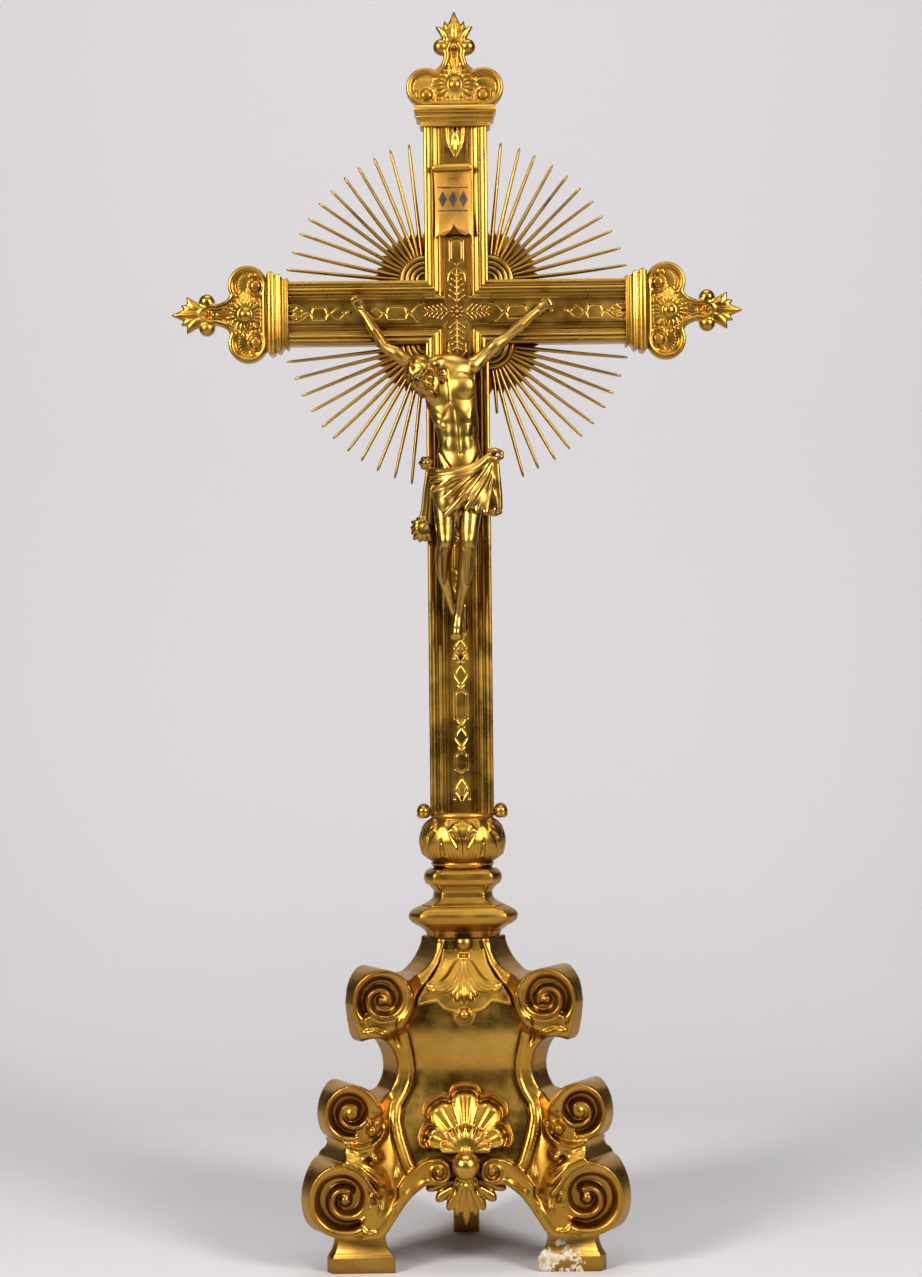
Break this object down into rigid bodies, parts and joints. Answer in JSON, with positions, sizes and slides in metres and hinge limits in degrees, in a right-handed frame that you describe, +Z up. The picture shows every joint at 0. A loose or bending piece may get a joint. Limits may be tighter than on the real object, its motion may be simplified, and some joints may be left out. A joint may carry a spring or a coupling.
{
  "type": "altar cross",
  "caption": "Standing altar cross of carved and gilded wood on a three-sided scrolled base, with a figure, a glory of rays and fleur ends; the cross lifts out of its base.",
  "frame": {"origin": "on the ground at the centre of the whole object's bounding box", "axes": "+Z up along the cross, -Y towards the front that carries the figure, +X to the viewer's right"},
  "size_m": [0.72, 0.3599, 1.566],
  "materials": {
    "burnished_gold": "burnished gold leaf over red bole on carved wood",
    "carved_gold": "gold leaf on carved wood, burnished on the high parts and matte in the hollows",
    "bar_gold": "burnished gold leaf on moulded bars with a punched matte ground",
    "figure_gold": "satin gold leaf on a carved figure",
    "ray_gold": "satin gold leaf on thin strips",
    "foot_gold": "worn gold leaf with chipped white gesso",
    "plaque_gold": "aged gold leaf with a dark painted ornament",
    "gilded_iron": "gilded iron",
    "bare_wood": "bare limewood"
  },
  "bodies": {
    "base": {"base_core": "bare_wood", "neck_lower": "carved_gold", "neck_upper": "carved_gold", "foot_dowels": "bare_wood", "front_panel": "burnished_gold", "front_lambrequin": "carved_gold", "front_shell": "carved_gold", "front_boss": "burnished_gold", "front_pendant_leaf": "carved_gold", "right_panel": "burnished_gold", "right_lambrequin": "carved_gold", "right_shell": "carved_gold", "right_boss": "burnished_gold", "right_pendant_leaf": "carved_gold", "left_panel": "burnished_gold", "left_lambrequin": "carved_gold", "left_shell": "carved_gold", "left_boss": "burnished_gold", "left_pendant_leaf": "carved_gold", "front_right_leg": "carved_gold", "front_right_volute": "carved_gold", "front_right_foot": "foot_gold", "back_leg": "carved_gold", "back_volute": "carved_gold", "back_foot": "foot_gold", "front_left_leg": "carved_gold", "front_left_volute": "carved_gold", "front_left_foot": "foot_gold"},
    "cross": {"upright": "bar_gold", "crossbar": "bar_gold", "top_collar": "carved_gold", "left_collar": "carved_gold", "right_collar": "carved_gold", "finial_dowels": "bare_wood", "top_finial": "carved_gold", "left_finial": "carved_gold", "right_finial": "carved_gold", "upper_right_rays": "ray_gold", "lower_right_rays": "ray_gold", "lower_left_rays": "ray_gold", "upper_left_rays": "ray_gold", "upper_right_hub": "ray_gold", "lower_right_hub": "ray_gold", "lower_left_hub": "ray_gold", "upper_left_hub": "ray_gold", "title_plaque": "plaque_gold", "title_nail": "gilded_iron", "corpus": "figure_gold", "corpus_left_arm": "figure_gold", "corpus_right_arm": "figure_gold", "loincloth": "figure_gold", "crown_of_thorns": "figure_gold", "corpus_nails": "gilded_iron", "knop": "carved_gold", "knop_beads": "carved_gold"}
  },
  "joints": [
    {"name": "cross_lift", "type": "slide", "parent": "base", "child": "cross", "axis": [0, 0, 1], "range_m": [0, 0.09]}
  ]
}
